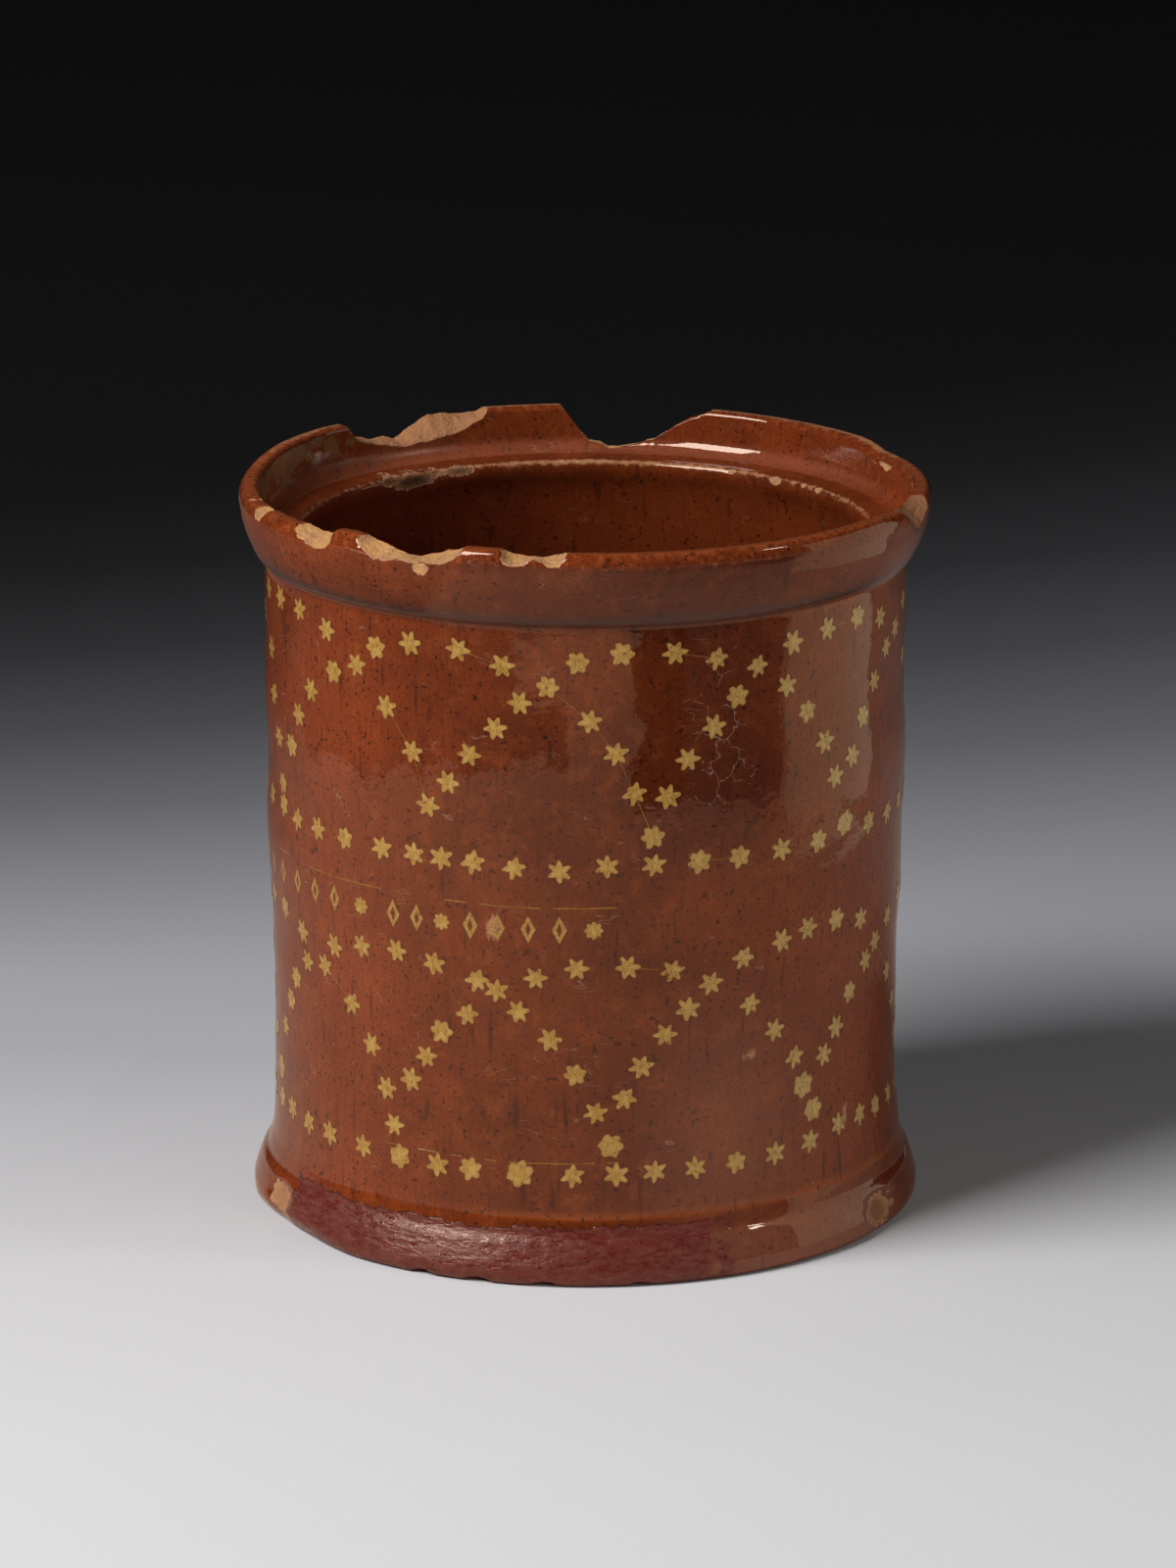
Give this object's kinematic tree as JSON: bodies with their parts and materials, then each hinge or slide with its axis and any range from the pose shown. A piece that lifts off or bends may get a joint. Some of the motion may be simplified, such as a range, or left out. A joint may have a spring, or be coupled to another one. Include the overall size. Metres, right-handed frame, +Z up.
{
  "type": "redware jar",
  "caption": "Cylindrical glazed redware jar with a flared foot and a chipped, galleried collar for a lid, inlaid with slip-filled stars set out in arches and rows.",
  "frame": {"origin": "centre of the underside, at the bottom of the jar's bounding box", "axes": "+Z up along the jar's turning axis, -Y towards the side that the picture shows, +X to the right of it"},
  "size_m": [0.1272, 0.1271, 0.136],
  "materials": {
    "redware": "lead-glazed red earthenware, worn to buff clay at the breaks",
    "slip": "pale slip under a yellowing glaze"
  },
  "bodies": {
    "root": {"jar_body": "redware", "upper_bay_1": "slip", "upper_bay_2": "slip", "upper_bay_3": "slip", "upper_bay_4": "slip", "upper_bay_5": "slip", "upper_bay_6": "slip", "upper_bay_7": "slip", "upper_bay_8": "slip", "upper_bay_9": "slip", "upper_row": "slip", "lower_bay_1": "slip", "lower_bay_2": "slip", "lower_bay_3": "slip", "lower_bay_4": "slip", "lower_bay_5": "slip", "lower_bay_6": "slip", "lower_bay_7": "slip", "lower_bay_8": "slip", "lower_bay_9": "slip", "lower_row": "slip", "band_rosette_1": "slip", "band_rosette_2": "slip", "band_rosette_3": "slip", "band_lozenge_1": "slip", "band_lozenge_2": "slip", "band_lozenge_3": "slip", "band_lozenge_4": "slip", "band_lozenge_5": "slip", "band_lozenge_6": "slip", "band_lozenge_7": "slip", "band_lozenge_8": "slip", "band_lozenge_9": "slip", "band_lozenge_10": "slip", "band_lozenge_11": "slip", "band_lozenge_12": "slip", "band_lozenge_13": "slip", "band_lozenge_14": "slip", "band_lozenge_15": "slip", "band_lozenge_16": "slip"}
  },
  "joints": []
}
